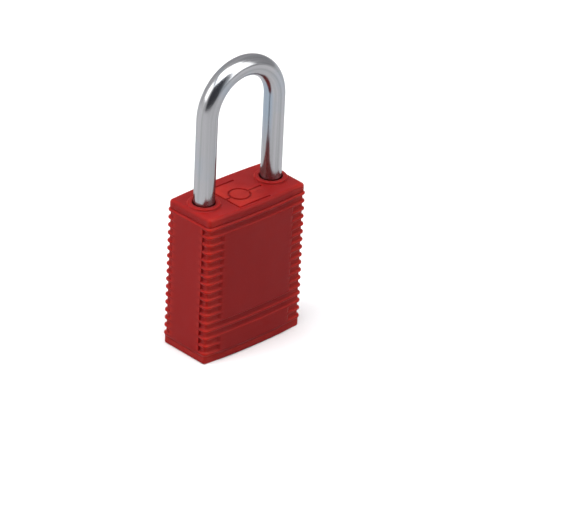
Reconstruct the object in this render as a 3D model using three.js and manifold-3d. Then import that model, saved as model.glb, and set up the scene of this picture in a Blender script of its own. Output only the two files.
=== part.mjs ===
// Safety padlock: a moulded nylon body round a steel shackle, two locking balls and a slider cylinder that
// takes its key from below. Millimetres, +Z up. The origin is the middle of the flat underside, the broad
// faces look along -Y and +Y and the narrow faces along -X and +X.
// As drawn, the shackle is closed and the plug stands turned to open, with both balls drawn in.
import * as THREE from "three";
import { mergeVertices } from "three/addons/utils/BufferGeometryUtils.js";
import Module from "manifold-3d";

const wasm = await Module();
wasm.setup();

// ---- Driving dimensions ----

// Shackle: round steel bar bent to a U in the XZ plane. The heel leg is at -X and the toe leg at +X.
const barDiameter = 6.35;
const legSpacing = 26.35;
const archCentreAboveBody = 27.2;
const shackleLift = 14;

// Body.
const bodyWidth = 38.5;
const bodyDepth = 19.9;
const bodyHeight = 47.7;
const broadFaceRadius = 235;
const cornerRadius = 1.5;
const bandInset = 0.3;
const coverThickness = 1.8;
const capHeight = 2.4;
const capInset = 0.4;
const capEdgeRadius = 1;
const collarHeight = 0.7;
const collarWall = 1.6;
const collarDraft = 0.3;

// Ribs round the four upright corners, counted from the top down, with a groove under each rib but the last.
const ribCount = 17;
const ribPitch = 2.56;
const topRibHeight = 44.4;
const ribTipThickness = 0.6;
const ribRootThickness = 1.1;
const grooveDepth = 0.65;
const ribRunOnBroadFace = 6;
const ribRunOnNarrowFace = 3.8;
const fullWidthGrooves = [1, 13, 14];

// Lock works.
const ballDiameter = 5;
const ballBelowTop = 8.2;
const ballEngagement = 0.9;
const plugDiameter = 9.9;
const housingDiameter = 13.6;
const plugTurn = Math.PI / 2;
const keySlot = { width: 8.2, thickness: 2.6 };
const sliderFreeFoot = 11;
const sliderTop = 24;
const sliderWidth = 1.4;
const sliderInnerRadius = 3.4;
const sliderTravels = [1.6, 1.0, 2.0, 1.3];
const sliderAngles = [22, 158, 202, 338].map(THREE.MathUtils.degToRad);

const sliderSlotTop = 27;
const plateBottom = 20;
const plateThickness = 1.2;
const plateInnerRadius = 3.9;
const camHalfHeight = 2.5;
const camShaftRadius = 3;
const camFlange = { radius: 5.2, thickness: 0.8 };
const driveTongue = { halfWidth: 3, halfThickness: 0.8, length: 1 };
const housingBottom = 0.3;
const housingTop = 28.4;
const snapRing = { thickness: 0.5, width: 0.9, belowHousingTop: 1, halfGap: 1.5 };

// Bottom cover, its screw and the shackle's ends.
const coverEdge = 0.6;
const coverBoss = { radius: 2.6, top: 6 };
const springSpigot = { radius: 1.9, top: 4 };
const screwHead = { radius: 2.6, height: 2.2, chamfer: 0.3 };
const screwShankRadius = 1.5;
const screwTip = 0.7;
const screwSocket = { radius: 1.45, depth: 1.3 };
const toeAboveScrew = 2.8;
const toeTipLength = 2.2;
const heelFootLength = 3;

// Clearances. A cutter runs past the face it opens by the overcut.
const seamGap = 0.1;
const slideGap = 0.15;
const partGap = 0.2;
const plugGap = 0.25;
const runningGap = 0.3;
const legGap = 0.4;
const camChamberGap = 0.5;
const overcut = 1;

// ---- Sizes that follow from them ----

const barRadius = barDiameter / 2;
const legX = legSpacing / 2;
const archCentreZ = bodyHeight + archCentreAboveBody;
const legInnerX = legX - barRadius;
const legBoreRadius = barRadius + legGap;
const shellBottom = coverThickness + seamGap;
const broadPanelHalfWidth = bodyWidth / 2 - ribRunOnBroadFace;
const narrowPanelHalfDepth = bodyDepth / 2 - ribRunOnNarrowFace;
const capBottom = bodyHeight - capHeight;

const ballRadius = ballDiameter / 2;
const ballZ = bodyHeight - ballBelowTop;
const lockedBallX = legInnerX + ballEngagement - ballRadius;
const toeBallStroke = ballEngagement + runningGap;
const heelBallStroke = toeBallStroke / 2;
const ballChannelRadius = ballRadius + partGap;
const notchRadius = ballRadius + runningGap;
const notchHalfHeight = Math.sqrt(notchRadius ** 2 - (legInnerX - lockedBallX) ** 2);

const camTopRadius = lockedBallX - ballRadius - runningGap;
const camChamberRadius = camTopRadius + camChamberGap;

const plugRadius = plugDiameter / 2;
const housingRadius = housingDiameter / 2;
const housingBoreRadius = plugRadius + plugGap;
const noseRadius = housingRadius - 0.9;
const plateTop = plateBottom + plateThickness;
const plateSeatRadius = housingRadius - 0.85;
const plateOuterRadius = plateSeatRadius - seamGap;
const sliderOuterRadius = plugRadius - partGap;
const sliderMiddleRadius = (sliderInnerRadius + sliderOuterRadius) / 2;
const snapRingBottom = housingTop - snapRing.belowHousingTop;
const snapRingTop = snapRingBottom + snapRing.thickness;

const toeEndZ = ballZ - notchHalfHeight - toeTipLength;
const neckDepth = ballEngagement + runningGap;
const neckTop = ballZ + notchHalfHeight;
const neckBottom = ballZ - notchHalfHeight - shackleLift;
const heelEndZ = neckBottom - heelFootLength;

const screwHeadBottom = toeEndZ - toeAboveScrew - screwHead.height;

// ---- Finishes ----

function finish(color, roughness, metalness) {
  return new THREE.MeshStandardMaterial({ color, roughness, metalness });
}

const redNylon = finish(0xa82a2c, 0.5, 0);
const platedSteel = finish(0xbfc1c4, 0.22, 1);
const blackenedSteel = finish(0x4a4b4e, 0.45, 1);
const springSteel = finish(0x8e9196, 0.35, 1);
const brass = finish(0xb89a4e, 0.35, 1);

// ---- Solids ----

function toSolid(geometry) {
  const bare = geometry.clone();
  bare.deleteAttribute("normal");
  bare.deleteAttribute("uv");
  const merged = mergeVertices(bare);
  const corners = merged.index.array;
  const triangles = [];
  for (let i = 0; i < corners.length; i += 3) {
    const [a, b, c] = corners.slice(i, i + 3);
    const hasArea = a !== b && b !== c && c !== a;
    if (hasArea) triangles.push(a, b, c);
  }
  const vertProperties = merged.attributes.position.array;
  const triVerts = Uint32Array.from(triangles);
  return new wasm.Manifold(new wasm.Mesh({ numProp: 3, vertProperties, triVerts }));
}

function piece(name, solid, material) {
  const { vertProperties, triVerts } = solid.getMesh();
  const geometry = new THREE.BufferGeometry();
  geometry.setAttribute("position", new THREE.BufferAttribute(vertProperties, 3));
  geometry.setIndex(new THREE.BufferAttribute(triVerts, 1));
  geometry.computeVertexNormals();
  const mesh = new THREE.Mesh(geometry, material);
  mesh.name = name;
  return mesh;
}

const union = (...solids) => solids.reduce((whole, next) => whole.add(next));
const cut = (solid, ...cutters) => cutters.reduce((rest, cutter) => rest.subtract(cutter), solid);

function box(low, high) {
  const size = high.map((value, axis) => value - low[axis]);
  const middle = high.map((value, axis) => (value + low[axis]) / 2);
  return toSolid(new THREE.BoxGeometry(...size).translate(...middle));
}

function uprightCylinder(radius, bottom, top, x = 0, sides = 28) {
  const geometry = new THREE.CylinderGeometry(radius, radius, top - bottom, sides);
  return toSolid(geometry.rotateX(Math.PI / 2).translate(x, 0, (bottom + top) / 2));
}

// Revolves [radius, height] points about the Z axis. The profile runs upwards along its outer side.
function revolve(profile, x = 0, sides = 28) {
  const points = profile.map(([radius, height]) => new THREE.Vector2(radius, height));
  return toSolid(new THREE.LatheGeometry(points, sides).rotateX(Math.PI / 2).translate(x, 0, 0));
}

const tube = (inner, outer, bottom, top, x = 0) =>
  revolve([[inner, bottom], [outer, bottom], [outer, top], [inner, top], [inner, bottom]], x);

// A closed skin through convex rings that all have the same number of points, from the lowest ring up.
function loft(rings) {
  const count = rings[0].outline.length;
  const positions = rings.flatMap(({ outline, z }) => outline.flatMap((point) => [point.x, point.y, z]));
  const lastRing = (rings.length - 1) * count;
  const indices = [];
  for (let start = 0; start < lastRing; start += count) {
    for (let j = 0; j < count; j++) {
      const a = start + j;
      const b = start + ((j + 1) % count);
      indices.push(a, b, b + count, a, b + count, a + count);
    }
  }
  for (let j = 1; j < count - 1; j++) {
    indices.push(0, j + 1, j);
    indices.push(lastRing, lastRing + j, lastRing + j + 1);
  }
  const geometry = new THREE.BufferGeometry();
  geometry.setAttribute("position", new THREE.Float32BufferAttribute(positions, 3));
  geometry.setIndex(indices);
  return toSolid(geometry);
}

function regularShape(radius, sides) {
  const shape = new THREE.Shape();
  for (let i = 0; i < sides; i++) {
    const angle = (i / sides) * 2 * Math.PI;
    shape[i === 0 ? "moveTo" : "lineTo"](radius * Math.cos(angle), radius * Math.sin(angle));
  }
  return shape.closePath();
}

class Helix extends THREE.Curve {
  constructor(radius, bottom, top, turns) {
    super();
    Object.assign(this, { radius, bottom, top, turns });
  }
  getPoint(t, target = new THREE.Vector3()) {
    const angle = t * this.turns * 2 * Math.PI;
    const height = THREE.MathUtils.lerp(this.bottom, this.top, t);
    return target.set(this.radius * Math.cos(angle), this.radius * Math.sin(angle), height);
  }
}

function coilSpring({ coilRadius, wireRadius, bottom, top, turns, wireSides }) {
  const path = new Helix(coilRadius - wireRadius, bottom + wireRadius, top - wireRadius, turns);
  const shape = regularShape(wireRadius, wireSides);
  return toSolid(new THREE.ExtrudeGeometry(shape, { steps: turns * 8, extrudePath: path }));
}

// ---- Body outline ----

// The outline of the body seen from above, as stations in anticlockwise order. A station's place gives its
// [x, y] for an inset, and its zone says which inset it takes. Each broad face is a wide arc that runs
// smoothly into the corner arcs, and each edge between ribs and panel has a station for either side.
function outlineStations() {
  const faceCentreY = bodyDepth / 2 - broadFaceRadius;
  const cornerX = bodyWidth / 2 - cornerRadius;
  const cornerY = faceCentreY + Math.sqrt((broadFaceRadius - cornerRadius) ** 2 - cornerX ** 2);
  const meetingAngle = Math.atan2(cornerY - faceCentreY, cornerX);
  const panelAngle = Math.acos(broadPanelHalfWidth / broadFaceRadius);
  const onNarrowFace = (inset) => [bodyWidth / 2 - inset, narrowPanelHalfDepth];
  const onCorner = (angle) => (inset) => [
    cornerX + (cornerRadius - inset) * Math.cos(angle),
    cornerY + (cornerRadius - inset) * Math.sin(angle),
  ];
  const onBroadFace = (angle) => (inset) => [
    (broadFaceRadius - inset) * Math.cos(angle),
    faceCentreY + (broadFaceRadius - inset) * Math.sin(angle),
  ];
  const cornerSteps = 3;
  const corner = Array.from({ length: cornerSteps + 1 }, (_, i) => ({
    zone: "ribs",
    place: onCorner((meetingAngle * i) / cornerSteps),
  }));
  const quarter = [
    { zone: "narrowPanel", place: onNarrowFace },
    { zone: "ribs", place: onNarrowFace },
    ...corner,
    { zone: "ribs", place: onBroadFace(panelAngle) },
    { zone: "broadPanel", place: onBroadFace(panelAngle) },
    { zone: "broadPanel", place: onBroadFace((panelAngle + Math.PI / 2) / 2) },
  ];
  const flip = (station, signX, signY) => ({
    zone: station.zone,
    place: (inset) => {
      const [x, y] = station.place(inset);
      return [signX * x, signY * y];
    },
  });
  const middle = { zone: "broadPanel", place: onBroadFace(Math.PI / 2) };
  const half = [...quarter, middle, ...quarter.map((station) => flip(station, -1, 1)).reverse()];
  return [...half, ...half.map((station) => flip(station, -1, -1))];
}

const stations = outlineStations();

// A step is a height and an inset, or a height and one inset for each zone.
function bodyLoft(steps) {
  const rings = steps.map(([z, inset]) => ({
    z,
    outline: stations.map(({ zone, place }) => new THREE.Vector2(...place(inset[zone] ?? inset))),
  }));
  return loft(rings);
}

const ribHeight = (number) => topRibHeight - (number - 1) * ribPitch;

// The ribbed part of the body, from the seam up to the top rib. Each rib has a flat tip and sloping sides,
// and the grooves between have flat floors. Smooth panels stand level with the tips between the rows of
// ribs, except where a groove runs right across the broad faces.
function ribbedSteps() {
  const lowestRib = ribHeight(ribCount);
  const steps = [
    [shellBottom, bandInset],
    [lowestRib - ribRootThickness / 2, bandInset],
    [lowestRib - ribTipThickness / 2, 0],
    [lowestRib + ribTipThickness / 2, 0],
  ];
  for (let number = ribCount - 1; number > 0; number--) {
    const rib = ribHeight(number);
    const runsAcross = fullWidthGrooves.includes(number);
    const groove = { ribs: grooveDepth, narrowPanel: 0, broadPanel: runsAcross ? grooveDepth : 0 };
    steps.push([rib - ribPitch + ribRootThickness / 2, groove]);
    steps.push([rib - ribRootThickness / 2, groove]);
    steps.push([rib - ribTipThickness / 2, 0]);
    steps.push([rib + ribTipThickness / 2, 0]);
  }
  return steps;
}

// The plain cap above the top rib, with a narrow groove under it and a rounded upper edge.
function capSteps() {
  const slope = 0.15;
  const edgeStart = bodyHeight - capEdgeRadius;
  const rounding = [0, 30, 60, 90].map((degrees) => {
    const angle = THREE.MathUtils.degToRad(degrees);
    const inset = capInset + capEdgeRadius * (1 - Math.cos(angle));
    return [edgeStart + capEdgeRadius * Math.sin(angle), inset];
  });
  return [
    [topRibHeight + ribRootThickness / 2, grooveDepth],
    [capBottom - slope, grooveDepth],
    [capBottom, capInset],
    ...rounding,
  ];
}

// ---- Body pieces ----

function shackleCollar(x) {
  const footRadius = legBoreRadius + collarWall;
  const rimRadius = footRadius - collarDraft;
  const [root, rim] = [bodyHeight - overcut, bodyHeight + collarHeight];
  return revolve([[0, root], [footRadius, root], [footRadius, bodyHeight], [rimRadius, rim], [0, rim]], x);
}

function bodyShell() {
  const above = bodyHeight + collarHeight + overcut;
  const below = shellBottom - overcut;
  const pocketTop = housingTop + runningGap;
  const camChamberTop = ballZ + camHalfHeight + legGap;
  const bossHole = { radius: coverBoss.radius + slideGap, top: coverBoss.top + slideGap };
  const ballChannel = toSolid(
    new THREE.CylinderGeometry(ballChannelRadius, ballChannelRadius, legSpacing, 20)
      .rotateZ(Math.PI / 2)
      .translate(0, 0, ballZ),
  );
  return cut(
    union(bodyLoft([...ribbedSteps(), ...capSteps()]), shackleCollar(-legX), shackleCollar(legX)),
    uprightCylinder(legBoreRadius, below, above, -legX),
    uprightCylinder(legBoreRadius, screwHeadBottom - seamGap, above, legX),
    uprightCylinder(screwShankRadius + plugGap, below, screwHeadBottom, legX, 16),
    uprightCylinder(bossHole.radius, below, bossHole.top, legX, 20),
    uprightCylinder(housingRadius + slideGap, below, pocketTop),
    uprightCylinder(camChamberRadius, pocketTop - overcut, camChamberTop),
    ballChannel,
  );
}

function bottomCover() {
  const edgeMiddle = coverEdge * (1 - Math.SQRT1_2);
  const plate = bodyLoft([
    [0, bandInset + coverEdge],
    [edgeMiddle, bandInset + edgeMiddle],
    [coverEdge, bandInset],
    [coverThickness, bandInset],
  ]);
  const root = coverThickness - overcut;
  const screwHoleRadius = screwShankRadius + slideGap;
  return cut(
    union(
      plate,
      uprightCylinder(coverBoss.radius, root, coverBoss.top, legX, 20),
      uprightCylinder(springSpigot.radius, root, springSpigot.top, -legX, 20),
    ),
    uprightCylinder(noseRadius + slideGap, -overcut, coverThickness + overcut),
    uprightCylinder(screwHoleRadius, screwTip - slideGap, coverBoss.top + overcut, legX, 16),
  );
}

function coverScrew() {
  const headTop = screwHeadBottom + screwHead.height;
  const screw = revolve(
    [
      [0, screwTip],
      [screwShankRadius, screwTip],
      [screwShankRadius, screwHeadBottom],
      [screwHead.radius, screwHeadBottom],
      [screwHead.radius, headTop - screwHead.chamfer],
      [screwHead.radius - screwHead.chamfer, headTop],
      [0, headTop],
    ],
    legX,
    20,
  );
  const socketBottom = headTop - screwSocket.depth;
  return cut(screw, uprightCylinder(screwSocket.radius, socketBottom, headTop + overcut, legX, 6));
}

// ---- Shackle ----

// The centre line of the shackle: one straight step up the heel leg, even steps round the arch, and one
// straight step down the toe leg.
class ShackleLine extends THREE.Curve {
  constructor(archSteps) {
    super();
    this.archSteps = archSteps;
    this.steps = archSteps + 2;
  }
  getUtoTmapping(u) {
    return u;
  }
  getPoint(t, target = new THREE.Vector3()) {
    const step = t * this.steps;
    if (step < 1) return target.set(-legX, 0, THREE.MathUtils.lerp(heelEndZ, archCentreZ, step));
    if (step > this.steps - 1) {
      return target.set(legX, 0, THREE.MathUtils.lerp(toeEndZ, archCentreZ, this.steps - step));
    }
    const angle = Math.PI * (1 - (step - 1) / this.archSteps);
    return target.set(legX * Math.cos(angle), 0, archCentreZ + legX * Math.sin(angle));
  }
}

function shackle() {
  const line = new ShackleLine(18);
  const section = regularShape(barRadius, 20);
  const bar = toSolid(new THREE.ExtrudeGeometry(section, { steps: line.steps, extrudePath: line }));
  const neck = tube(barRadius - neckDepth, barRadius + overcut, neckBottom, neckTop, -legX);
  const notchLength = barDiameter + 2 * overcut;
  const notch = new THREE.CylinderGeometry(notchRadius, notchRadius, notchLength, 24);
  return cut(bar, neck, toSolid(notch.translate(lockedBallX, 0, ballZ)));
}

function shackleSpring() {
  const [bottom, top] = [shellBottom, heelEndZ - slideGap];
  const spring = { coilRadius: 2.9, wireRadius: 0.35, bottom, top, turns: 7, wireSides: 5 };
  return coilSpring(spring).translate([-legX, 0, 0]);
}

function lockingBall(side, stroke) {
  const x = side * (lockedBallX - stroke);
  return toSolid(new THREE.SphereGeometry(ballRadius, 14, 9).rotateX(Math.PI / 2).translate(x, 0, ballZ));
}

// ---- Cylinder ----

// The cam pushes the balls out at an even rate as it turns, the toe ball twice as far as the heel ball.
function camOutline() {
  const shape = new THREE.Shape();
  const steps = 48;
  for (let i = 0; i < steps; i++) {
    const angle = (i / steps) * 2 * Math.PI;
    const fromToe = Math.min(angle, 2 * Math.PI - angle);
    const fromLobe = Math.abs(fromToe - plugTurn) / plugTurn;
    const fall = fromToe < plugTurn ? toeBallStroke : heelBallStroke;
    const radius = camTopRadius - fall * fromLobe;
    shape[i === 0 ? "moveTo" : "lineTo"](radius * Math.cos(angle), radius * Math.sin(angle));
  }
  return shape.closePath();
}

function lockingCam() {
  const camBottom = ballZ - camHalfHeight;
  const flangeBottom = housingTop + partGap;
  const flangeTop = flangeBottom + camFlange.thickness;
  const { halfWidth, halfThickness, length } = driveTongue;
  const tongueTop = (flangeBottom + flangeTop) / 2;
  const lobes = new THREE.ExtrudeGeometry(camOutline(), { depth: 2 * camHalfHeight, bevelEnabled: false });
  return union(
    toSolid(lobes.translate(0, 0, camBottom)),
    uprightCylinder(camShaftRadius, flangeBottom, camBottom + overcut, 0, 24),
    uprightCylinder(camFlange.radius, flangeBottom, flangeTop),
    box([-halfWidth, -halfThickness, housingTop - length], [halfWidth, halfThickness, tongueTop]),
  );
}

function cylinderHousing() {
  const shoulder = coverThickness + slideGap;
  const grooveInner = plateSeatRadius - overcut / 2;
  const grooveOuter = plateSeatRadius + legGap;
  const outside = revolve([
    [0, housingBottom],
    [noseRadius, housingBottom],
    [noseRadius, shoulder],
    [housingRadius, shoulder],
    [housingRadius, housingTop],
    [0, housingTop],
  ]);
  return cut(
    outside,
    uprightCylinder(housingBoreRadius, housingBottom - overcut, housingTop + overcut),
    uprightCylinder(plateSeatRadius, plateBottom - seamGap, housingTop + overcut),
    tube(grooveInner, grooveOuter, snapRingBottom - seamGap, snapRingTop + seamGap),
  );
}

// A box that stands on a circle round the Z axis: radial from inner to outer, and width across.
function radialBox(angle, inner, outer, width, bottom, top) {
  const size = [outer - inner, width, top - bottom];
  const block = new THREE.BoxGeometry(...size).translate((inner + outer) / 2, 0, (bottom + top) / 2);
  return toSolid(block.rotateZ(angle));
}

function cylinderPlug() {
  const plugBottom = housingBottom + seamGap;
  const plugTop = housingTop - partGap;
  const past = plugRadius + overcut;
  const plateSlot = [plateBottom - slideGap, plateTop + slideGap];
  const [halfWidth, halfThickness] = [keySlot.width / 2, keySlot.thickness / 2];
  const keyDepth = sliderFreeFoot + Math.max(...sliderTravels) + partGap;
  const driveSlot = [driveTongue.halfWidth + partGap, driveTongue.halfThickness + partGap];
  const driveSlotBottom = housingTop - driveTongue.length - partGap;
  const [slotInner, slotWidth] = [sliderInnerRadius - partGap, sliderWidth + partGap];
  const slotBottom = sliderFreeFoot - partGap;
  const sliderSlots = sliderAngles.map((angle) =>
    radialBox(angle, slotInner, past, slotWidth, slotBottom, sliderSlotTop),
  );
  return cut(
    uprightCylinder(plugRadius, plugBottom, plugTop),
    tube(plateInnerRadius - partGap, past, ...plateSlot),
    box([-halfWidth, -halfThickness, plugBottom - overcut], [halfWidth, halfThickness, keyDepth]),
    box([-driveSlot[0], -driveSlot[1], driveSlotBottom], [...driveSlot, housingTop]),
    ...sliderSlots,
  );
}

// Each slider's gate stands level with the locking plates while the key holds the slider up.
function sliderTumbler(angle, travel) {
  const gateClearance = 0.35;
  const gate = [plateBottom - gateClearance, plateTop + gateClearance];
  const foot = sliderFreeFoot + travel;
  return cut(
    radialBox(angle, sliderInnerRadius, sliderOuterRadius, sliderWidth, foot, sliderTop),
    radialBox(angle, plateInnerRadius - slideGap, plugRadius + overcut, 2 * sliderWidth, ...gate),
  );
}

function sliderSpring(angle) {
  const [bottom, top] = [sliderTop + seamGap / 2, sliderSlotTop - seamGap / 2];
  const spring = { coilRadius: 0.6, wireRadius: 0.12, bottom, top, turns: 4, wireSides: 4 };
  const offset = [sliderMiddleRadius * Math.cos(angle), sliderMiddleRadius * Math.sin(angle), 0];
  return coilSpring(spring).translate(offset);
}

// Half of the notched ring that blocks the sliders. The notches let the sliders pass with the plug at
// either end of its turn.
function lockingPlate(side) {
  const reach = housingRadius;
  const yRange = [side * slideGap, side * reach].sort((a, b) => a - b);
  const [below, above] = [plateBottom - overcut, plateTop + overcut];
  const half = box([-reach, yRange[0], below], [reach, yRange[1], above]);
  const ring = tube(plateInnerRadius, plateOuterRadius, plateBottom, plateTop);
  const notchInner = plateInnerRadius - overcut;
  const notchWidth = sliderWidth + 2 * partGap;
  const notchAngles = [0, plugTurn].flatMap((turn) => sliderAngles.map((angle) => angle + turn));
  const notches = notchAngles.map((angle) =>
    radialBox(angle, notchInner, plugRadius, notchWidth, below, above),
  );
  return cut(ring.intersect(half), ...notches);
}

function spacerSleeve() {
  return tube(housingBoreRadius, plateOuterRadius, plateTop + seamGap, snapRingBottom - partGap);
}

function splitRing() {
  const inner = housingBoreRadius + seamGap;
  const { width, halfGap } = snapRing;
  const ring = tube(inner, inner + width, snapRingBottom, snapRingTop);
  return cut(ring, box([0, -halfGap, snapRingBottom - overcut], [housingRadius, halfGap, housingTop]));
}

// ---- Assembly ----

const padlock = new THREE.Group();
const bodyGroup = new THREE.Group();
const shackleGroup = new THREE.Group();
const cylinderGroup = new THREE.Group();
padlock.add(bodyGroup, shackleGroup, cylinderGroup);

bodyGroup.add(
  piece("body_shell", bodyShell(), redNylon),
  piece("bottom_cover", bottomCover(), redNylon),
  piece("cover_screw", coverScrew(), blackenedSteel),
);
shackleGroup.add(
  piece("shackle", shackle(), platedSteel),
  piece("shackle_spring", shackleSpring(), springSteel),
  piece("heel_locking_ball", lockingBall(-1, heelBallStroke), platedSteel),
  piece("toe_locking_ball", lockingBall(1, toeBallStroke), platedSteel),
);
cylinderGroup.add(
  piece("locking_cam", lockingCam(), blackenedSteel),
  piece("cylinder_housing", cylinderHousing(), brass),
  piece("cylinder_plug", cylinderPlug(), brass),
  piece("front_locking_plate", lockingPlate(-1), blackenedSteel),
  piece("rear_locking_plate", lockingPlate(1), blackenedSteel),
  piece("spacer_sleeve", spacerSleeve(), brass),
  piece("snap_ring", splitRing(), springSteel),
);
sliderAngles.forEach((angle, i) => {
  cylinderGroup.add(piece(`slider_tumbler_${i + 1}`, sliderTumbler(angle, sliderTravels[i]), brass));
  cylinderGroup.add(piece(`slider_spring_${i + 1}`, sliderSpring(angle), springSteel));
});

export default padlock;
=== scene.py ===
"""The looks of a moulded safety padlock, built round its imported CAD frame.

Metres, +Z up, in the frame's own axes: the broad faces look along -Y and +Y, the narrow faces along -X
and +X, the heel leg of the shackle stands at -X and the toe leg at +X.
"""

import math

import bmesh
import bpy
from mathutils import Matrix, Vector


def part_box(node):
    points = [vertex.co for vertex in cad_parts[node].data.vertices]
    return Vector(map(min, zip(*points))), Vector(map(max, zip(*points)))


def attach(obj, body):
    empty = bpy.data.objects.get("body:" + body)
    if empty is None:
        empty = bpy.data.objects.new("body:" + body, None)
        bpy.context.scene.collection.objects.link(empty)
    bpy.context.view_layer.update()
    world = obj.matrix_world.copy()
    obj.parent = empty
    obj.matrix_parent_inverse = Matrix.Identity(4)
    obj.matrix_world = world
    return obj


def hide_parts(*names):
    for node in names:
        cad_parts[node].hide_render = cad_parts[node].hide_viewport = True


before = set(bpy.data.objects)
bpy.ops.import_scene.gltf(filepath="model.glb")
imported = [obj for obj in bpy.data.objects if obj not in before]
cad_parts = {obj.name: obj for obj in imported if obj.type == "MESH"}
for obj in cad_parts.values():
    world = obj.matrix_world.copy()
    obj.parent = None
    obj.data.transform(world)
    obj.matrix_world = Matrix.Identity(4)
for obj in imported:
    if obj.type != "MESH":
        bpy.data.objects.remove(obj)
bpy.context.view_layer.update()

MM = 0.001

# ---- Dimensions read from the frame ----

shell_low, shell_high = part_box("body_shell")
cover_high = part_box("bottom_cover")[1]
shackle_low, shackle_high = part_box("shackle")
housing_low, housing_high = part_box("cylinder_housing")
plug_low, plug_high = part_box("cylinder_plug")
ball_low, ball_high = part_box("toe_locking_ball")
cam_low, cam_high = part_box("locking_cam")
screw_low, screw_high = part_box("cover_screw")

half_width = shell_high.x
half_depth = shell_high.y
shell_bottom = shell_low.z
collar_top = shell_high.z
bar_radius = shackle_high.y
leg_x = shackle_high.x - bar_radius
arch_z = shackle_high.z - shackle_high.x
heel_end = shackle_low.z
toe_end = min(v.co.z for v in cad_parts["shackle"].data.vertices if v.co.x > 0)
ball_z = (ball_low.z + ball_high.z) / 2
ball_radius = (ball_high.z - ball_low.z) / 2
housing_radius = housing_high.x
plug_radius = plug_high.x
plate_low, plate_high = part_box("rear_locking_plate")
ring_low, ring_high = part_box("snap_ring")

# ---- Details of the moulding that the boxes don't give ----

body_top = collar_top - 0.7 * MM
rib_count = 17
rib_pitch = 2.56 * MM
top_rib = body_top - 3.3 * MM
groove_depth = 0.65 * MM
rib_base = 0.56 * MM
rib_tip = 0.34 * MM
cap_bottom = body_top - 2.4 * MM
face_radius = 235 * MM
corner_radius = 1.5 * MM
broad_panel_half_width = half_width - 6 * MM
narrow_panel_half_depth = half_depth - 3.8 * MM
full_width_grooves = (1, 13, 14)
panel_wall = 0.22 * MM
groove_run_out = 1.1 * MM
band_inset = 0.3 * MM
cap_inset = 0.4 * MM
cap_edge = 1.0 * MM
foot_edge = 0.6 * MM
crown = 0.1 * MM
top_line_radius = 0.38 * MM

# ---- Details of the lock works that the boxes don't give ----

overcut = 1 * MM
gap = 0.1 * MM
bore_radius = plug_radius + 0.25 * MM
nose_radius = housing_radius - 0.9 * MM
plate_seat_radius = housing_radius - 0.85 * MM
plate_inner_radius = 3.9 * MM
slider_angles = (22, 158, 202, 338)
notch_radius = ball_radius + 0.3 * MM
toe_ball_stroke = 1.2 * MM
key_slot_half_length = 4.1 * MM
key_slot_half_width = 1.3 * MM
key_slot_top = 13.2 * MM
tongue_half_length = 3.0 * MM
tongue_half_width = 0.8 * MM
tongue_clearance = 0.2 * MM
tongue_slot_depth = 1 * MM

# ---- Mesh building ----


def mesh_object(name, vertices, faces):
    mesh = bpy.data.meshes.new(name)
    mesh.from_pydata(vertices, [], faces)
    mesh.update()
    made = bpy.data.objects.new(name, mesh)
    bpy.context.scene.collection.objects.link(made)
    return made


def loft(name, rings, closed=False):
    """A skin through rings of equally many points, capped at both ends or closed from last to first."""
    count = len(rings[0])
    total = count * len(rings)
    spans = len(rings) if closed else len(rings) - 1
    faces = []
    for start in range(0, spans * count, count):
        for j in range(count):
            k = (j + 1) % count
            above = (start + count) % total
            faces.append((start + j, start + k, above + k, above + j))
    if not closed:
        faces.append(tuple(reversed(range(count))))
        faces.append(tuple(range(total - count, total)))
    return mesh_object(name, [point for ring in rings for point in ring], faces)


def circle(radius, z, x=0.0, sides=96):
    angles = [2 * math.pi * i / sides for i in range(sides)]
    return [(x + radius * math.cos(a), radius * math.sin(a), z) for a in angles]


def rounded(points, radius, steps=3, closed=False):
    """The polyline with each corner replaced by a curve that starts about one radius away from it."""
    out = [] if closed else [points[0]]
    last = len(points) - 1
    for i in range(0 if closed else 1, len(points) if closed else last):
        corner = Vector(points[i])
        before = Vector(points[i - 1]) - corner
        after = Vector(points[(i + 1) % len(points)]) - corner
        start = corner + before.normalized() * min(radius, 0.45 * before.length)
        end = corner + after.normalized() * min(radius, 0.45 * after.length)
        for step in range(steps + 1):
            t = step / steps
            out.append(tuple(start * (1 - t) ** 2 + corner * 2 * t * (1 - t) + end * t**2))
    return out if closed else out + [points[-1]]


def turned(name, profile, x=0.0, edge=0.15 * MM, sides=96):
    """A solid of revolution from (radius, height) points that run upwards along its outer side."""
    return loft(name, [circle(r, z, x, sides) for r, z in rounded(profile, edge)])


def turned_ring(name, profile, x=0.0, edge=0.1 * MM, sides=96):
    """A ring of revolution from a closed loop of (radius, height) points, anticlockwise."""
    loop = rounded(profile, edge, closed=True)
    return loft(name, [circle(r, z, x, sides) for r, z in loop], closed=True)


def tube_loop(inner, outer, bottom, top):
    return [(inner, bottom), (outer, bottom), (outer, top), (inner, top)]


def rod(radius, bottom, top, x=0.0, sides=64):
    return loft("rod", [circle(radius, bottom, x, sides), circle(radius, top, x, sides)])


def sweep(name, path, radius, sides=16, closed=False):
    """A round bar along a path of points. Its section keeps its twist from point to point."""
    points = [Vector(p) for p in path]
    count = len(points)
    normal = None
    rings = []
    for i, point in enumerate(points):
        ahead = points[(i + 1) % count] if closed or i < count - 1 else point
        behind = points[i - 1] if closed or i > 0 else point
        tangent = (ahead - behind).normalized()
        if normal is None:
            normal = tangent.orthogonal().normalized()
        normal = (normal - tangent * normal.dot(tangent)).normalized()
        side = tangent.cross(normal)
        angles = [2 * math.pi * j / sides for j in range(sides)]
        rings.append([point + (normal * math.cos(a) + side * math.sin(a)) * radius for a in angles])
    return loft(name, rings, closed)


def rectangle(half_x, half_y, z):
    return [(-half_x, -half_y, z), (half_x, -half_y, z), (half_x, half_y, z), (-half_x, half_y, z)]


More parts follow.
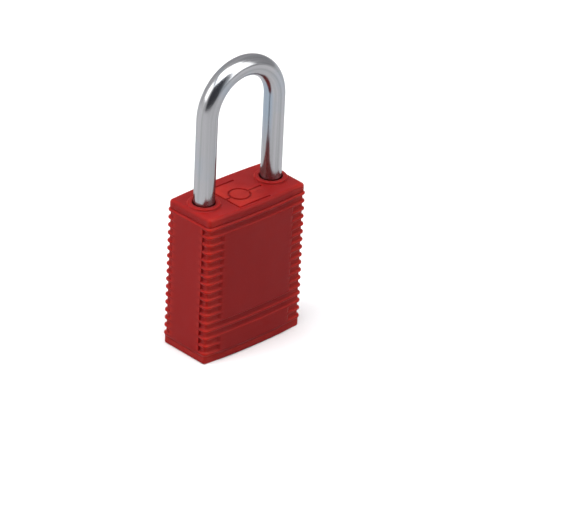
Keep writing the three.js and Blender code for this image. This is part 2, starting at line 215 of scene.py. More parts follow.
def block(low, high):
    corners = [(low[0], low[1]), (high[0], low[1]), (high[0], high[1]), (low[0], high[1])]
    return loft("block", [[(x, y, z) for x, y in corners] for z in (low[2], high[2])])


def turn(piece, angle):
    piece.data.transform(Matrix.Rotation(angle, 4, "Z"))
    return piece


def weld(mesh):
    """Merges points that coincide, and removes the faces and edges that this leaves without size."""
    close = 0.001 * MM
    work = bmesh.new()
    work.from_mesh(mesh)
    bmesh.ops.remove_doubles(work, verts=work.verts, dist=close)
    bmesh.ops.dissolve_degenerate(work, edges=work.edges, dist=close)
    work.to_mesh(mesh)
    work.free()


def apply_modifiers(piece):
    made = bpy.data.meshes.new_from_object(piece.evaluated_get(bpy.context.evaluated_depsgraph_get()))
    piece.modifiers.clear()
    weld(made)
    piece.data = made


def combine(piece, operation, tools):
    """Joins the tools to the piece or cuts them from it, and leaves a plain mesh."""
    for tool in tools:
        modifier = piece.modifiers.new("combine", "BOOLEAN")
        modifier.operation = operation
        modifier.solver = "MANIFOLD"
        modifier.object = tool
    apply_modifiers(piece)
    for tool in tools:
        bpy.data.objects.remove(tool)
    return piece


def cut(piece, *tools):
    return combine(piece, "DIFFERENCE", tools)


def join(piece, *tools):
    return combine(piece, "UNION", tools)


def smooth(piece, degrees=32):
    """Smooth shading that breaks at edges sharper than the angle and keeps flat faces flat."""
    piece.data.shade_smooth()
    piece.data.set_sharp_from_angle(angle=math.radians(degrees))
    weights = piece.modifiers.new("flat faces stay flat", "WEIGHTED_NORMAL")
    weights.keep_sharp = True
    return piece


def place(piece, body, nodes, material):
    """Makes the piece stand for its CAD nodes on their body, in its finish."""
    piece.data.materials.clear()
    piece.data.materials.append(material)
    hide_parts(*nodes)
    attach(piece, body)
    return piece


# ---- Body outline ----


def ease(t):
    """A share from 0 to 1 that starts and ends level."""
    return t * t * (3 - 2 * t)


def quarter_stations():
    """The outline from the middle of the +X face round to the middle of the +Y face.

    A station is a function from an inset to (x, y), and its share of the ribs' depth from 0 on a smooth
    panel to 1 between the ribs.
    """
    face_centre = half_depth - face_radius
    corner_x = half_width - corner_radius
    corner_y = face_centre + math.sqrt((face_radius - corner_radius) ** 2 - corner_x**2)
    meeting = math.atan2(corner_y - face_centre, corner_x)

    def on_narrow_face(y):
        return lambda inset: (half_width - inset, y)

    def on_corner(angle):
        return lambda inset: (
            corner_x + (corner_radius - inset) * math.cos(angle),
            corner_y + (corner_radius - inset) * math.sin(angle),
        )

    def on_broad_face(x):
        angle = math.acos(x / face_radius)
        return lambda inset: (
            (face_radius - inset) * math.cos(angle),
            face_centre + (face_radius - inset) * math.sin(angle),
        )

    found = [(on_narrow_face(narrow_panel_half_depth * i / 4), 0.0) for i in range(1, 4)]
    for step in range(6):
        t = step / 5
        found.append((on_narrow_face(narrow_panel_half_depth + panel_wall * t), ease(t)))
    found.append((on_narrow_face((narrow_panel_half_depth + corner_y) / 2), 1.0))
    for step in range(9):
        found.append((on_corner(meeting * step / 8), 1.0))
    arc_end = face_radius * math.cos(meeting)
    panel_start = broad_panel_half_width + groove_run_out
    for step in range(1, 4):
        found.append((on_broad_face(arc_end + (panel_start - arc_end) * step / 4), 1.0))
    for step in range(6):
        t = 1 - step / 5
        found.append((on_broad_face(broad_panel_half_width + groove_run_out * t), ease(t)))
    for step in range(1, 6):
        found.append((on_broad_face(broad_panel_half_width * (1 - step / 6)), 0.0))
    return found


def outline_stations():
    """All stations of the outline, anticlockwise from the middle of the +X face."""

    def flipped(station, sign_x, sign_y):
        position, share = station

        def flipped_position(inset):
            x, y = position(inset)
            return sign_x * x, sign_y * y

        return flipped_position, share

    quarter = quarter_stations()
    middle_x = (lambda inset: (half_width - inset, 0.0), 0.0)
    middle_y = (lambda inset: (0.0, half_depth - inset), 0.0)
    half = [middle_x, *quarter, middle_y, *[flipped(s, -1, 1) for s in reversed(quarter)]]
    return half + [flipped(s, -1, -1) for s in half]


stations = outline_stations()


def body_loft(name, rows):
    """A body part from rows of (height, inset, whether the inset runs across the smooth broad panels)."""
    rings = []
    for z, inset, across in rows:
        ring = []
        for position, share in stations:
            x, _ = position(0.0)
            on_broad_panel = share < 1 and abs(x) <= broad_panel_half_width + groove_run_out
            depth = inset if across == "all" or (across == "broad" and on_broad_panel) else inset * share
            ring.append((*position(depth), z))
        rings.append(ring)
    return loft(name, rings)


def rib_height(number):
    return top_rib - (number - 1) * rib_pitch


def ribbed_profile():
    """(height, inset) corners of the ribbed stretch: half-round ribs with flat grooves between them."""
    foot = rib_height(rib_count) - rib_base
    corners = [(shell_bottom, band_inset), (foot - 0.2 * MM, band_inset)]
    for number in range(rib_count, 0, -1):
        rib = rib_height(number)
        if number < rib_count:
            corners.append((rib - rib_base, groove_depth))
        corners += [(rib - rib_tip, 0.0), (rib + rib_tip, 0.0)]
        if number > 1:
            corners.append((rib + rib_base, groove_depth))
    return corners


def body_rows():
    """The shell from its seam up to the flat of its top."""
    edge_start = body_top - cap_edge
    corners = ribbed_profile() + [
        (top_rib + rib_base, groove_depth),
        (cap_bottom - gap, groove_depth),
        (cap_bottom, cap_inset),
        (edge_start, cap_inset),
    ]
    rows = []
    for z, inset in rounded(corners, 0.3 * MM):
        groove = math.floor((top_rib - z) / rib_pitch) + 1
        if z > top_rib or z < rib_height(rib_count):
            across = "all"
        elif groove in full_width_grooves:
            across = "broad"
        else:
            across = "ribs"
        rows.append((z, inset, across))
    for step in range(1, 9):
        angle = math.pi / 2 * step / 8
        inset = cap_inset + cap_edge * (1 - math.cos(angle))
        rows.append((edge_start + cap_edge * math.sin(angle), inset, "all"))
    rows.append((body_top, cap_inset + cap_edge + crown, "all"))
    return rows


# ---- Body ----


def collar(x):
    """The ring that stands up round a leg of the shackle, with a steep flank."""
    profile = [
        (5.15 * MM, body_top - 0.5 * MM),
        (5.15 * MM, body_top + 0.05 * MM),
        (4.9 * MM, body_top + 0.12 * MM),
        (4.8 * MM, collar_top),
        (3.6 * MM, collar_top),
    ]
    return turned("collar", profile, x, edge=0.18 * MM)


def top_groove(points, closed=False):
    """A round-bottomed groove in the top face along (x, y) points in millimetres."""
    path = [(x * MM, y * MM, body_top - 0.1 * MM) for x, y in points]
    return sweep("top_groove", path, top_line_radius, sides=16, closed=closed)


def top_pattern():
    """Shallow moulded lines between the collars: a ring in an open frame, joined to it on both sides."""
    middle_x, middle_y, radius = -0.9, -1.9, 3.2
    angles = [2 * math.pi * i / 64 for i in range(64)]
    ring = [(middle_x + radius * math.cos(a), middle_y + radius * math.sin(a)) for a in angles]
    spot = rod(1.2 * MM, body_top - 0.05 * MM, body_top + overcut, sides=32)
    spot.data.transform(Matrix.Translation((4.8 * MM, -4.5 * MM, 0)))
    frame_left, frame_front, frame_back = -6.4, -8.0, 5.5
    front_end, back_end = (5.6, frame_front), (3.5, frame_back)
    return [
        top_groove(ring, closed=True),
        top_groove([front_end, (frame_left, frame_front), (frame_left, frame_back), back_end]),
        top_groove([(frame_left, middle_y), (middle_x - radius, middle_y)]),
        top_groove([(middle_x + radius, middle_y), (7.6, middle_y)]),
        spot,
    ]


def moulded_body(material):
    bore = bar_radius + 0.4 * MM
    screw_bore, boss_bore = 1.75 * MM, 2.75 * MM
    above = collar_top + overcut
    below = shell_bottom - overcut
    screw_seat = screw_high.z - 2.3 * MM
    pocket_top = housing_high.z + 0.3 * MM
    channel = sweep("channel", [(-leg_x, 0, ball_z), (leg_x, 0, ball_z)], ball_radius + 0.2 * MM, sides=48)
    shell = body_loft("moulded_body", body_rows())
    join(shell, collar(-leg_x), collar(leg_x))
    cut(
        shell,
        rod(bore, below, above, -leg_x),
        rod(bore, screw_seat, above, leg_x),
        rod(screw_bore, below, screw_high.z, leg_x, sides=32),
        rod(boss_bore, below, cover_high.z + 0.15 * MM, leg_x, sides=48),
        rod(housing_radius + 0.15 * MM, below, pocket_top, sides=96),
        rod(cam_high.x + 0.5 * MM, pocket_top - overcut, cam_high.z + 0.4 * MM, sides=96),
        channel,
        *top_pattern(),
    )
    return place(smooth(shell), "body", ["body_shell"], material)


def seam_cover(material):
    top = shell_bottom - 0.02 * MM
    seam_edge = 0.05 * MM
    rows = [(0.0, band_inset + foot_edge + crown, "all")]
    for step in range(7):
        angle = math.pi / 2 * step / 6
        inset = band_inset + foot_edge * (1 - math.sin(angle))
        rows.append((foot_edge * (1 - math.cos(angle)), inset, "all"))
    rows += [(top - seam_edge, band_inset, "all"), (top, band_inset + seam_edge, "all")]
    cover = body_loft("seam_cover", rows)
    boss_radius, boss_top = 2.6 * MM, cover_high.z
    spigot_radius, spigot_top = 1.9 * MM, 4 * MM
    root = top - overcut
    boss = [(boss_radius, root), (boss_radius, boss_top), (1.9 * MM, boss_top)]
    spigot = [(spigot_radius, root), (spigot_radius, spigot_top), (1 * MM, spigot_top)]
    join(cover, turned("boss", boss, leg_x), turned("spigot", spigot, -leg_x))
    hole_radius = nose_radius + 0.15 * MM
    chamfer = 0.3 * MM
    nose_hole = [
        (hole_radius + chamfer, -overcut),
        (hole_radius + chamfer, 0.0),
        (hole_radius, chamfer),
        (hole_radius, top + overcut),
    ]
    screw_hole_radius, screw_hole_floor = 1.65 * MM, 0.55 * MM
    screw_hole = rod(screw_hole_radius, screw_hole_floor, boss_top + overcut, leg_x, sides=32)
    cut(cover, turned("nose_hole", nose_hole, edge=0.05 * MM), screw_hole)
    return place(smooth(cover), "body", ["bottom_cover"], material)


# ---- Shackle ----


def shackle_path():
    """The bar's middle line, from the heel's end over the arch to the toe's end."""
    arch_steps, leg_steps = 72, 24
    chamfer_length = 0.4 * MM
    heel_low, toe_low = heel_end + chamfer_length, toe_end + chamfer_length
    path = [(-leg_x, 0, heel_end), (-leg_x, 0, heel_low)]
    path += [(-leg_x, 0, heel_low + (arch_z - heel_low) * i / leg_steps) for i in range(1, leg_steps)]
    for step in range(arch_steps + 1):
        angle = math.pi * (1 - step / arch_steps)
        path.append((leg_x * math.cos(angle), 0, arch_z + leg_x * math.sin(angle)))
    path += [(leg_x, 0, arch_z + (toe_low - arch_z) * i / leg_steps) for i in range(1, leg_steps)]
    return path + [(leg_x, 0, toe_low), (leg_x, 0, toe_end)]


def steel_shackle(material):
    """The bent bar with a notch in each leg for its ball and a neck above the heel's foot.

    Its UV map holds the length along the bar and the share of the way round it.
    """
    sides = 64
    chamfer = 0.35 * MM
    side = Vector((0, 1, 0))
    path = [Vector(p) for p in shackle_path()]
    last = len(path) - 1
    length = 0.0
    rings = []
    lengths = []
    for i, point in enumerate(path):
        tangent = (path[min(i + 1, last)] - path[max(i - 1, 0)]).normalized()
        normal = side.cross(tangent)
        radius = bar_radius - chamfer if i in (0, last) else bar_radius
        angles = [2 * math.pi * j / sides for j in range(sides)]
        rings.append([point + (normal * math.cos(a) + side * math.sin(a)) * radius for a in angles])
        length += (point - path[i - 1]).length if i else 0
        lengths.append(length)
    bar = loft("steel_shackle", rings)
    wrap = bar.data.uv_layers.new(name="along_bar")
    for face in bar.data.polygons:
        for corner, vertex in zip(face.loop_indices, face.vertices):
            ring, spoke = divmod(vertex, sides)
            wrap.data[corner].uv = (lengths[ring], spoke / sides)
    notch_x = ball_high.x - ball_radius + toe_ball_stroke
    reach = bar_radius + overcut
    notch = sweep("notch", [(notch_x, -reach, ball_z), (notch_x, reach, ball_z)], notch_radius, sides=64)
    neck_top = ball_z + math.sqrt(notch_radius**2 - (leg_x - bar_radius - notch_x) ** 2)
    neck_bottom = heel_end + 3 * MM
    neck_radius = bar_radius - 1.2 * MM
    neck_loop = tube_loop(neck_radius, bar_radius + overcut, neck_bottom, neck_top)
    neck = turned_ring("neck", neck_loop, -leg_x, edge=0.3 * MM)
    cut(bar, notch, neck)
    return place(smooth(bar), "shackle", ["shackle"], material)


def locking_ball(name, node, material):
    """A ball made from a finely divided cube, so that it has no poles."""
    low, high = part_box(node)
    centre = (low + high) / 2
    radius = (high.z - low.z) / 2
    ball = block((-1, -1, -1), (1, 1, 1))
    ball.name = name
    divide = ball.modifiers.new("divide", "SUBSURF")
    divide.subdivision_type = "SIMPLE"
    divide.levels = divide.render_levels = 5
    apply_modifiers(ball)
    for vertex in ball.data.vertices:
        vertex.co = centre + vertex.co.normalized() * radius
    ball.data.shade_smooth()
    body = "heel_ball" if node.startswith("heel") else "toe_ball"
    return place(ball, body, [node], material)


# ---- Lock works ----


def radial_block(angle, inner, outer, width, bottom, top):
    """A block that reaches out from the Z axis at the angle."""
    return turn(block((inner, -width / 2, bottom), (outer, width / 2, top)), angle)


def cylinder_barrel(material):
    """The fixed barrel: a nose that shows below, a seat for the plates and a groove for the split ring."""
    bottom, top = housing_low.z, housing_high.z
    shoulder = shell_bottom + 0.05 * MM
    seat = plate_low.z - gap
    ring_bottom, ring_top = ring_low.z - gap, ring_high.z + gap
    ring_groove_radius = plate_seat_radius + 0.4 * MM
    loop = [
        (bore_radius, bottom),
        (nose_radius, bottom),
        (nose_radius, shoulder),
        (housing_radius, shoulder),
        (housing_radius, top),
        (plate_seat_radius, top),
        (plate_seat_radius, ring_top),
        (ring_groove_radius, ring_top),
        (ring_groove_radius, ring_bottom),
        (plate_seat_radius, ring_bottom),
        (plate_seat_radius, seat),
        (bore_radius, seat),
    ]
    barrel = turned_ring("cylinder_barrel", loop, edge=0.12 * MM)
    return place(smooth(barrel), "body", ["cylinder_housing"], material)


def turning_plug(material):
    """The core: a key slot below, four upright slots for the sliders and a slot for the cam's tongue."""
    bottom, top = plug_low.z, plug_high.z
    groove_radius = plate_inner_radius - 0.2 * MM
    groove_bottom, groove_top = plate_low.z - 0.15 * MM, plate_high.z + 0.15 * MM
    chamfer = 0.25 * MM
    profile = [
        (plug_radius - chamfer, bottom),
        (plug_radius, bottom + chamfer),
        (plug_radius, groove_bottom),
        (groove_radius, groove_bottom),
        (groove_radius, groove_top),
        (plug_radius, groove_top),
        (plug_radius, top),
        (plug_radius - 0.3 * MM, top),
    ]
    plug = turned("turning_plug", profile, edge=0.08 * MM)
    key_slot = block(
        (-key_slot_half_length, -key_slot_half_width, bottom - overcut),
        (key_slot_half_length, key_slot_half_width, key_slot_top),
    )
    flare = 0.3 * MM
    lead_in = [
        rectangle(key_slot_half_length + wider, key_slot_half_width + wider, z)
        for z, wider in ((bottom - flare, 2 * flare), (bottom + flare, 0.0))
    ]
    tongue_slot_x = tongue_half_length + tongue_clearance
    tongue_slot_y = tongue_half_width + tongue_clearance
    tongue_slot = block(
        (-tongue_slot_x, -tongue_slot_y, top - tongue_slot_depth),
        (tongue_slot_x, tongue_slot_y, top + overcut),
    )
    slot_root, slot_width = 3.2 * MM, 1.6 * MM
    slot_bottom, slot_top = 10.8 * MM, 27 * MM
    slider_slots = [
        radial_block(math.radians(angle), slot_root, plug_radius + overcut, slot_width, slot_bottom, slot_top)
        for angle in slider_angles
    ]
    cut(plug, key_slot, loft("lead_in", lead_in), tongue_slot, *slider_slots)
    return place(smooth(plug), "plug", ["cylinder_plug"], material)


def turning_cam(material):
    """Two lobes on a hub, with a flange and a tongue that stands in the plug's drive slot."""
    ball_clearance = 0.3 * MM
    crest = cam_high.y
    toe_side = ball_low.x - ball_clearance
    heel_side = -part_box("heel_locking_ball")[1].x - ball_clearance
    outline = []
    steps = 180
    for i in range(steps):
        angle = 2 * math.pi * i / steps
        from_toe = min(angle, 2 * math.pi - angle)
        from_crest = abs(from_toe / (math.pi / 2) - 1)
        hollow = toe_side if from_toe < math.pi / 2 else heel_side
        radius = crest - from_crest * (crest - hollow)
        outline.append((radius * math.cos(angle), radius * math.sin(angle)))
    bottom, top = 2 * ball_z - cam_high.z, cam_high.z
    edge = 0.15 * MM
    rings = [
        [(x * (1 - inset / crest), y * (1 - inset / crest), z) for x, y in outline]
        for z, inset in ((bottom, edge), (bottom + edge, 0.0), (top - edge, 0.0), (top, edge))
    ]
    cam = loft("turning_cam", rings)
    flange_radius = housing_radius - 1.6 * MM
    flange_bottom = housing_high.z + 0.2 * MM
    flange_top = flange_bottom + 0.8 * MM
    shaft_radius = 3 * MM
    shaft_top = bottom + overcut
    shaft = [
        (flange_radius, flange_bottom),
        (flange_radius, flange_top),
        (shaft_radius, flange_top),
        (shaft_radius, shaft_top),
        (shaft_radius - 1 * MM, shaft_top),
    ]
    tongue = block(
        (-tongue_half_length, -tongue_half_width, cam_low.z),
        (tongue_half_length, tongue_half_width, flange_bottom + 0.4 * MM),
    )
    join(cam, turned("shaft", shaft), tongue)
    return place(smooth(cam), "plug", ["locking_cam"], material)


def locking_plate(name, node, side, material):
    """Half of the ring that blocks the sliders, on the -Y or +Y side, notched for both ends of the turn."""
    outer = plate_high.x
    loop = tube_loop(plate_inner_radius, outer, plate_low.z, plate_high.z)
    ring = turned_ring(name, loop, edge=0.08 * MM)
    below, above = plate_low.z - overcut, plate_high.z + overcut
    half_split = 0.15 * MM
    near, far = sorted((-side * half_split, -side * housing_radius))
    other_half = block((-housing_radius, near, below), (housing_radius, far, above))
    notch_root, notch_width = plate_inner_radius - overcut, 1.8 * MM
    notches = [
        radial_block(math.radians(angle + turned_by), notch_root, plug_radius, notch_width, below, above)
        for turned_by in (0, 90)
        for angle in slider_angles
    ]
    cut(ring, other_half, *notches)
    return place(smooth(ring), "body", [node], material)


def sleeve(material):
    low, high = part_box("spacer_sleeve")
    tube = turned_ring("sleeve", tube_loop(bore_radius, high.x, low.z, high.z))
    return place(smooth(tube), "body", ["spacer_sleeve"], material)


def split_ring(material):
    outer = -ring_low.x
    width = 0.9 * MM
    half_split = 1.5 * MM
    ring = turned_ring("split_ring", tube_loop(outer - width, outer, ring_low.z, ring_high.z), edge=0.08 * MM)
    split = block(
        (0, -half_split, ring_low.z - overcut),
        (housing_radius, half_split, ring_high.z + overcut),
    )
    cut(ring, split)
    return place(smooth(ring), "body", ["snap_ring"], material)


def socket_screw(material):
    """A cap screw with a six-sided socket."""
    head_bottom, head_top = screw_high.z - 2.2 * MM, screw_high.z
    head_radius = screw_high.x - leg_x
    shank_radius = 1.5 * MM
    tip, chamfer = 0.4 * MM, 0.25 * MM
    profile = [
        (shank_radius - tip, screw_low.z),
        (shank_radius, screw_low.z + tip),
        (shank_radius, head_bottom),
        (head_radius, head_bottom),
        (head_radius, head_top - chamfer),
        (head_radius - chamfer, head_top),
    ]
    screw = turned("socket_screw", profile, leg_x, edge=0.1 * MM, sides=64)
    socket_radius, socket_depth = 1.45 * MM, 1.3 * MM
    cut(screw, rod(socket_radius, head_top - socket_depth, head_top + overcut, leg_x, sides=6))
    return place(smooth(screw), "body", ["cover_screw"], material)


def wire_spring(name, node, body, wire_radius, turns, material):
    """A coil spring with a closed coil at each end."""
    low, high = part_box(node)
    centre = (low + high) / 2
    coil_radius = (high.x - low.x) / 2 - wire_radius
    closed_pitch = 2 * wire_radius
    open_turns = turns - 2
    open_pitch = (high.z - low.z - 2 * wire_radius - 2 * closed_pitch) / open_turns
    steps_per_turn = 32
    path = []
    for i in range(turns * steps_per_turn + 1):
        turned_by = i / steps_per_turn
        end_coils = min(turned_by, 1) + max(turned_by - 1 - open_turns, 0)
        rise = end_coils * closed_pitch + min(max(turned_by - 1, 0), open_turns) * open_pitch
        angle = 2 * math.pi * turned_by
        x, y = centre.x + coil_radius * math.cos(angle), centre.y + coil_radius * math.sin(angle)
        path.append((x, y, low.z + wire_radius + rise))
    spring = sweep(name, path, wire_radius, sides=10)
    spring.data.shade_smooth()
    return place(spring, body, [node], material)


def eased_slider(number, material):
    """The CAD's slider with its edges broken."""
    node = f"slider_tumbler_{number}"
    slider = bpy.data.objects.new(f"stamped_slider_{number}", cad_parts[node].data.copy())
    bpy.context.scene.collection.objects.link(slider)
    weld(slider.data)
    bevel = slider.modifiers.new("broken edges", "BEVEL")
    bevel.width = 0.08 * MM
    bevel.segments = 2
    bevel.limit_method = "ANGLE"
    apply_modifiers(slider)
    return place(smooth(slider), f"slider_{number}", [node], material)


# ---- Materials ----


class Nodes:
    """A node tree with short calls for the nodes used here."""

    def __init__(self, tree):
        self.tree = tree

    def add(self, kind, **settings):
        node = self.tree.nodes.new(kind)
        inputs = settings.pop("inputs", {})
        for key, value in settings.items():
            setattr(node, key, value)
        for key, value in inputs.items():
            self.set(node, key, value)
        return node

    def set(self, node, key, value):
        if isinstance(value, bpy.types.NodeSocket):
            self.tree.links.new(value, node.inputs[key])
        else:
            node.inputs[key].default_value = value

    def position(self):
        return self.add("ShaderNodeTexCoord").outputs["Object"]

    def split(self, vector):
        separate = self.add("ShaderNodeSeparateXYZ", inputs={"Vector": vector})
        return [separate.outputs[axis] for axis in "XYZ"]

    def noise(self, scale, detail=3.0, vector=None, roughness=0.5):
        vector = self.position() if vector is None else vector
        settings = {"Vector": vector, "Scale": scale, "Detail": detail, "Roughness": roughness}
        return self.add("ShaderNodeTexNoise", inputs=settings).outputs["Fac"]

    def stretch(self, vector, scale):
        inputs = {"Vector": vector, "Scale": scale}
        return self.add("ShaderNodeMapping", inputs=inputs).outputs["Vector"]

    def remap(self, value, low, high, to_low, to_high):
        inputs = {"Value": value, "From Min": low, "From Max": high, "To Min": to_low, "To Max": to_high}
        return self.add("ShaderNodeMapRange", inputs=inputs).outputs["Result"]

    def mix(self, factor, first, second):
        node = self.add("ShaderNodeMix", data_type="RGBA")
        for socket, value in ((node.inputs[0], factor), (node.inputs[6], first), (node.inputs[7], second)):
            if isinstance(value, bpy.types.NodeSocket):
                self.tree.links.new(value, socket)
            else:
                socket.default_value = value
        return node.outputs[2]

    def math(self, operation, first, second=0.0):
        node = self.add("ShaderNodeMath", operation=operation)
        self.set(node, 0, first)
        self.set(node, 1, second)
        return node.outputs[0]

    def bump(self, height, distance, strength=1.0, normal=None):
        inputs = {"Height": height, "Distance": distance, "Strength": strength}
        if normal is not None:
            inputs["Normal"] = normal
        return self.add("ShaderNodeBump", inputs=inputs).outputs["Normal"]


class Finish(Nodes):
    """The node tree of a new material with one surface shader."""

    def __init__(self, name):
        self.material = bpy.data.materials.new(name)
        self.material.use_nodes = True
        super().__init__(self.material.node_tree)
        self.shader = self.tree.nodes["Principled BSDF"]

    def finish(self, **inputs):
        for key, value in inputs.items():
            self.set(self.shader, key.replace("_", " "), value)
        return self.material


def red_nylon():
    """Satin moulded nylon with painted highlights on its convex edges and corners, and browner as the steel
    mirrors it.
    """
    nodes = Finish("red_nylon")
    clouds = nodes.noise(90, 4)
    grain = nodes.noise(5200, 2)
    flow = nodes.noise(1, 3, nodes.stretch(nodes.position(), (260, 260, 60)))

    # Painted highlight: convex edges get a painted edge sheen, and the body's corners a painted glow for
    # light through the thin nylon, both in a brighter orange-red
    convex = nodes.add("ShaderNodeNewGeometry").outputs["Pointiness"]
    edge_highlight = nodes.remap(convex, 0.51, 0.58, 0.0, 0.8)
    x, y, _ = nodes.split(nodes.position())
    along = nodes.math("ABSOLUTE", x)
    across = nodes.math("ABSOLUTE", y)
    corner = nodes.math(
        "MULTIPLY",
        nodes.remap(along, half_width - 7 * MM, half_width - 1 * MM, 0.0, 0.8),
        nodes.remap(across, half_depth - 3 * MM, half_depth - 0.8 * MM, 0.0, 1.0),
    )
    base = nodes.mix(clouds, (0.255, 0.008, 0.008, 1), (0.30, 0.011, 0.010, 1))
    base = nodes.mix(nodes.math("MAXIMUM", edge_highlight, corner), base, (0.46, 0.022, 0.013, 1))

    mirrored = nodes.remap(nodes.add("ShaderNodeLightPath").outputs["Is Glossy Ray"], 0, 1, 0, 0.6)
    base = nodes.mix(mirrored, base, (0.05, 0.012, 0.012, 1))

    roughness = nodes.remap(flow, 0.3, 0.7, 0.36, 0.48)
    grain_bump = nodes.bump(grain, 0.02 * MM, 0.5)
    return nodes.finish(
        Base_Color=base,
        Roughness=roughness,
        Normal=nodes.bump(flow, 0.05 * MM, 0.3, grain_bump),
        IOR=1.5,
        Specular_IOR_Level=0.13,
        Subsurface_Weight=0.6,
        Subsurface_Scale=1.6 * MM,
        Subsurface_Radius=(1.0, 0.12, 0.08),
    )


def plated_steel():
    """Bright plating with fine drawn lines and soft streaks along the bar."""
    nodes = Finish("plated_steel")
    along = nodes.add("ShaderNodeUVMap", uv_map="along_bar").outputs["UV"]
    lines = nodes.noise(1, 3, nodes.stretch(along, (60, 90, 1)))
    streaks = nodes.remap(nodes.noise(1, 4, nodes.stretch(along, (10, 16, 1))), 0.36, 0.64, 0.0, 1.0)
    base = nodes.mix(streaks, (0.44, 0.445, 0.455, 1), (0.60, 0.60, 0.61, 1))

    # The plating has a faint bluish cast in clouds, and a painted bluish reflection on the inward face of the
    # toe leg's upper half
    place_x, _, place_z = nodes.split(nodes.position())
    facing_x, _, _ = nodes.split(nodes.add("ShaderNodeTexCoord").outputs["Normal"])
    toe_side = nodes.remap(place_x, 0.0, 4 * MM, 0.0, 0.75)
    faces_painted_reflection = nodes.remap(facing_x, -0.70, -0.88, 0.0, 1.0)
    upper_half = nodes.remap(place_z, 58 * MM, 70 * MM, 0.0, 1.0)
    inside = nodes.math("MULTIPLY", nodes.math("MULTIPLY", toe_side, faces_painted_reflection), upper_half)
    clouds = nodes.remap(nodes.noise(70, 3), 0.52, 0.75, 0.0, 0.5)
    base = nodes.mix(nodes.math("MAXIMUM", inside, clouds), base, (0.40, 0.51, 0.62, 1))
    return nodes.finish(
        Base_Color=base,
        Metallic=1.0,
        Roughness=nodes.remap(lines, 0.3, 0.7, 0.14, 0.24),
        Normal=nodes.bump(lines, 0.01 * MM, 0.25),
    )


def ball_steel():
    nodes = Finish("ball_steel")
    clouds = nodes.noise(600, 4)
    base = nodes.mix(clouds, (0.55, 0.56, 0.58, 1), (0.66, 0.66, 0.68, 1))
    return nodes.finish(Base_Color=base, Metallic=1.0, Roughness=nodes.remap(clouds, 0.3, 0.7, 0.06, 0.14))


def blackened_steel():
    nodes = Finish("blackened_steel")
    clouds = nodes.noise(400, 5)
    base = nodes.mix(clouds, (0.045, 0.045, 0.05, 1), (0.09, 0.085, 0.085, 1))
    return nodes.finish(
        Base_Color=base,
        Metallic=0.9,
        Roughness=nodes.remap(clouds, 0.3, 0.7, 0.35, 0.55),
        Normal=nodes.bump(nodes.noise(3000, 2), 0.01 * MM, 0.4),
    )


def spring_steel():
    nodes = Finish("spring_steel")
    clouds = nodes.noise(900, 4)
    base = nodes.mix(clouds, (0.25, 0.25, 0.27, 1), (0.40, 0.40, 0.41, 1))
    return nodes.finish(
        Base_Color=base,
        Metallic=1.0,
        Roughness=nodes.remap(clouds, 0.3, 0.7, 0.22, 0.38),
        Normal=nodes.bump(nodes.noise(4000, 2), 0.01 * MM, 0.3),
    )


def brass(name, dull, bright):
    """Turned brass: fine rings about the Z axis on its ends and flanks, and soft tarnish."""
    nodes = Finish(name)
    x, y, z = nodes.split(nodes.position())
    squared = nodes.math("ADD", nodes.math("MULTIPLY", x, x), nodes.math("MULTIPLY", y, y))
    travel = nodes.math("ADD", nodes.math("SQRT", squared), z)
    rings = nodes.add("ShaderNodeTexNoise", noise_dimensions="1D", inputs={"W": travel, "Scale": 9000})
    tarnish = nodes.noise(350, 4)
    return nodes.finish(
        Base_Color=nodes.mix(tarnish, dull, bright),
        Metallic=1.0,
        Roughness=nodes.remap(tarnish, 0.3, 0.7, 0.34, 0.2),
        Normal=nodes.bump(rings.outputs["Fac"], 0.01 * MM, 0.5),
    )


# ---- Setting ----


def floor():
    """A pale floor. It is a little paler to the camera than it is in reflections, and clear from below.

    It has an opening just inside the foot of the lock, so that light reaches the underside.
    """
    inside_foot = 1 * MM
    corners = rectangle(3.0, 3.0, 0.0) + rectangle(half_width - inside_foot, half_depth - inside_foot, 0.0)
    plane = mesh_object("floor", corners, [(i, (i + 1) % 4, (i + 1) % 4 + 4, i + 4) for i in range(4)])
    nodes = Finish("pale_floor")
    ray = nodes.add("ShaderNodeLightPath").outputs
    tone = nodes.mix(nodes.noise(3, 2), (0.48, 0.48, 0.49, 1), (0.51, 0.51, 0.52, 1))
    nodes.finish(Base_Color=nodes.mix(ray["Is Camera Ray"], tone, (0.95, 0.95, 0.95, 1)), Roughness=0.9)
    nodes.set(nodes.shader, "Specular IOR Level", 0.0)
    clear = nodes.add("ShaderNodeBsdfTransparent").outputs[0]
    below = nodes.add("ShaderNodeNewGeometry").outputs["Backfacing"]
    sides = nodes.add("ShaderNodeMixShader", inputs={0: below, 1: nodes.shader.outputs[0], 2: clear})
    nodes.tree.links.new(sides.outputs[0], nodes.tree.nodes["Material Output"].inputs["Surface"])
    plane.data.materials.append(nodes.material)


def direction(bearing, height):
    """The direction at a bearing from -Y towards +X and an angle above the horizon, in degrees."""
    a, e = math.radians(bearing), math.radians(height)
    return Vector((math.sin(a) * math.cos(e), -math.cos(a) * math.cos(e), math.sin(e)))


def softbox(name, bearing, height, spread, radiance, reflected, distance=2.2):
    """A rectangular light that faces the lock and fills the given angles, across and up.

    It is two lamps, one just before the other, as the light on dull surfaces and in reflections differ.
    """
    across, along = (2 * distance * math.tan(math.radians(angle) / 2) for angle in spread)
    toward = direction(bearing, height)
    for purpose, strength in (("dull", radiance), ("reflected", reflected)):
        light = bpy.data.lights.new(f"{name}_{purpose}", "AREA")
        light.shape = "RECTANGLE"
        light.size, light.size_y = across, along
        light.energy = strength * math.pi * across * along
        lamp = bpy.data.objects.new(light.name, light)
        stand_off = distance if purpose == "dull" else distance - 0.02
        lamp.location = toward * stand_off + Vector((0, 0, 0.05))
        lamp.rotation_mode = "QUATERNION"
        lamp.rotation_quaternion = toward.to_track_quat("Z", "Y")
        lamp.visible_camera = False
        lamp.visible_diffuse = purpose == "dull"
        lamp.visible_glossy = purpose == "reflected"
        bpy.context.scene.collection.objects.link(lamp)


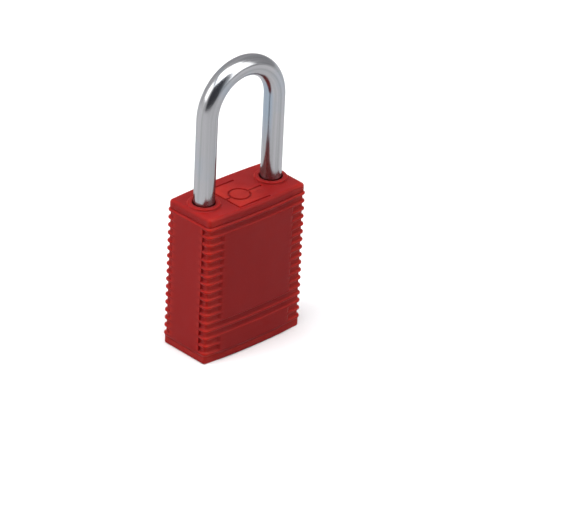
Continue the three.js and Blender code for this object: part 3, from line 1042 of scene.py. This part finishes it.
def surroundings():
    """A light tent: grey walls, a dark opening where the camera stands, and three softboxes."""
    world = bpy.data.worlds.new("studio")
    bpy.context.scene.world = world
    world.use_nodes = True
    nodes = Nodes(world.node_tree)
    x, y, z = nodes.split(nodes.add("ShaderNodeTexCoord").outputs["Generated"])
    bearing = nodes.math("ARCTAN2", x, nodes.math("MULTIPLY", y, -1.0))
    height = nodes.math("ARCSINE", z)

    def within(value, middle, half, edge):
        away = nodes.math("ABSOLUTE", nodes.math("SUBTRACT", value, math.radians(middle)))
        return nodes.remap(away, math.radians(half + edge), math.radians(half - edge), 0.0, 1.0)

    opening = nodes.math("MULTIPLY", within(bearing, -43, 40, 7), within(height, 25, 30, 6))
    wall = nodes.mix(nodes.remap(x, -1, 1, 0, 1), (0.70, 0.70, 0.71, 1), (0.36, 0.36, 0.38, 1))
    tent = nodes.mix(opening, wall, (0.05, 0.05, 0.06, 1))
    seen = nodes.add("ShaderNodeLightPath").outputs["Is Camera Ray"]
    nodes.set(world.node_tree.nodes["Background"], "Color", nodes.mix(seen, tent, (0.9, 0.9, 0.9, 1)))
    softbox("right_light", 29, 33, (33, 47), 0.8, 2.2)
    softbox("left_light", -115, 32, (34, 30), 4.0, 1.9)
    softbox("top_light", -40, 80, (62, 44), 3.7, 2.5)


def camera():
    """The eye, from its bearing, height angle, tilt and distance, and the point its axis passes."""
    bearing, height = -44.7, 28.95
    tilt = math.radians(2.85)
    distance = 1.4364
    back = direction(bearing, height)
    right = direction(bearing + 90, 0)
    up = back.cross(right)
    aim = Vector((0, 0, 30.08 * MM)) + right * 17.16 * MM - up * 5.60 * MM
    tilted_right = right * math.cos(tilt) + up * math.sin(tilt)
    tilted_up = up * math.cos(tilt) - right * math.sin(tilt)
    lens = bpy.data.cameras.new("eye")
    lens.sensor_width = 36.0
    lens.lens = 302.8
    lens.clip_start, lens.clip_end = 0.01, 20
    eye = bpy.data.objects.new("eye", lens)
    turned_axes = Matrix((tilted_right, tilted_up, back)).transposed().to_4x4()
    eye.matrix_world = Matrix.Translation(aim + back * distance) @ turned_axes
    bpy.context.scene.collection.objects.link(eye)
    bpy.context.scene.camera = eye


# ---- Assembly ----

nylon = red_nylon()
moulded_body(nylon)
seam_cover(nylon)
steel_shackle(plated_steel())
steel_balls = ball_steel()
locking_ball("heel_ball", "heel_locking_ball", steel_balls)
locking_ball("toe_ball", "toe_locking_ball", steel_balls)

housing_brass = brass("housing_brass", (0.42, 0.27, 0.09, 1), (0.60, 0.42, 0.17, 1))
plug_brass = brass("plug_brass", (0.48, 0.33, 0.12, 1), (0.66, 0.48, 0.21, 1))
slider_brass = brass("slider_brass", (0.40, 0.25, 0.08, 1), (0.55, 0.38, 0.14, 1))
blackened = blackened_steel()
spring_wire = spring_steel()
cylinder_barrel(housing_brass)
sleeve(housing_brass)
turning_plug(plug_brass)
turning_cam(blackened)
locking_plate("front_plate", "front_locking_plate", -1, blackened)
locking_plate("rear_plate", "rear_locking_plate", 1, blackened)
split_ring(spring_wire)
socket_screw(blackened)
shackle_wire, slider_wire = 0.35 * MM, 0.12 * MM
wire_spring("shackle_coil", "shackle_spring", "body", shackle_wire, 7, spring_wire)
for number in range(1, len(slider_angles) + 1):
    eased_slider(number, slider_brass)
    wire_spring(f"slider_coil_{number}", f"slider_spring_{number}", "plug", slider_wire, 5, spring_wire)

floor()
surroundings()
camera()
bpy.context.scene.view_settings.view_transform = "Standard"
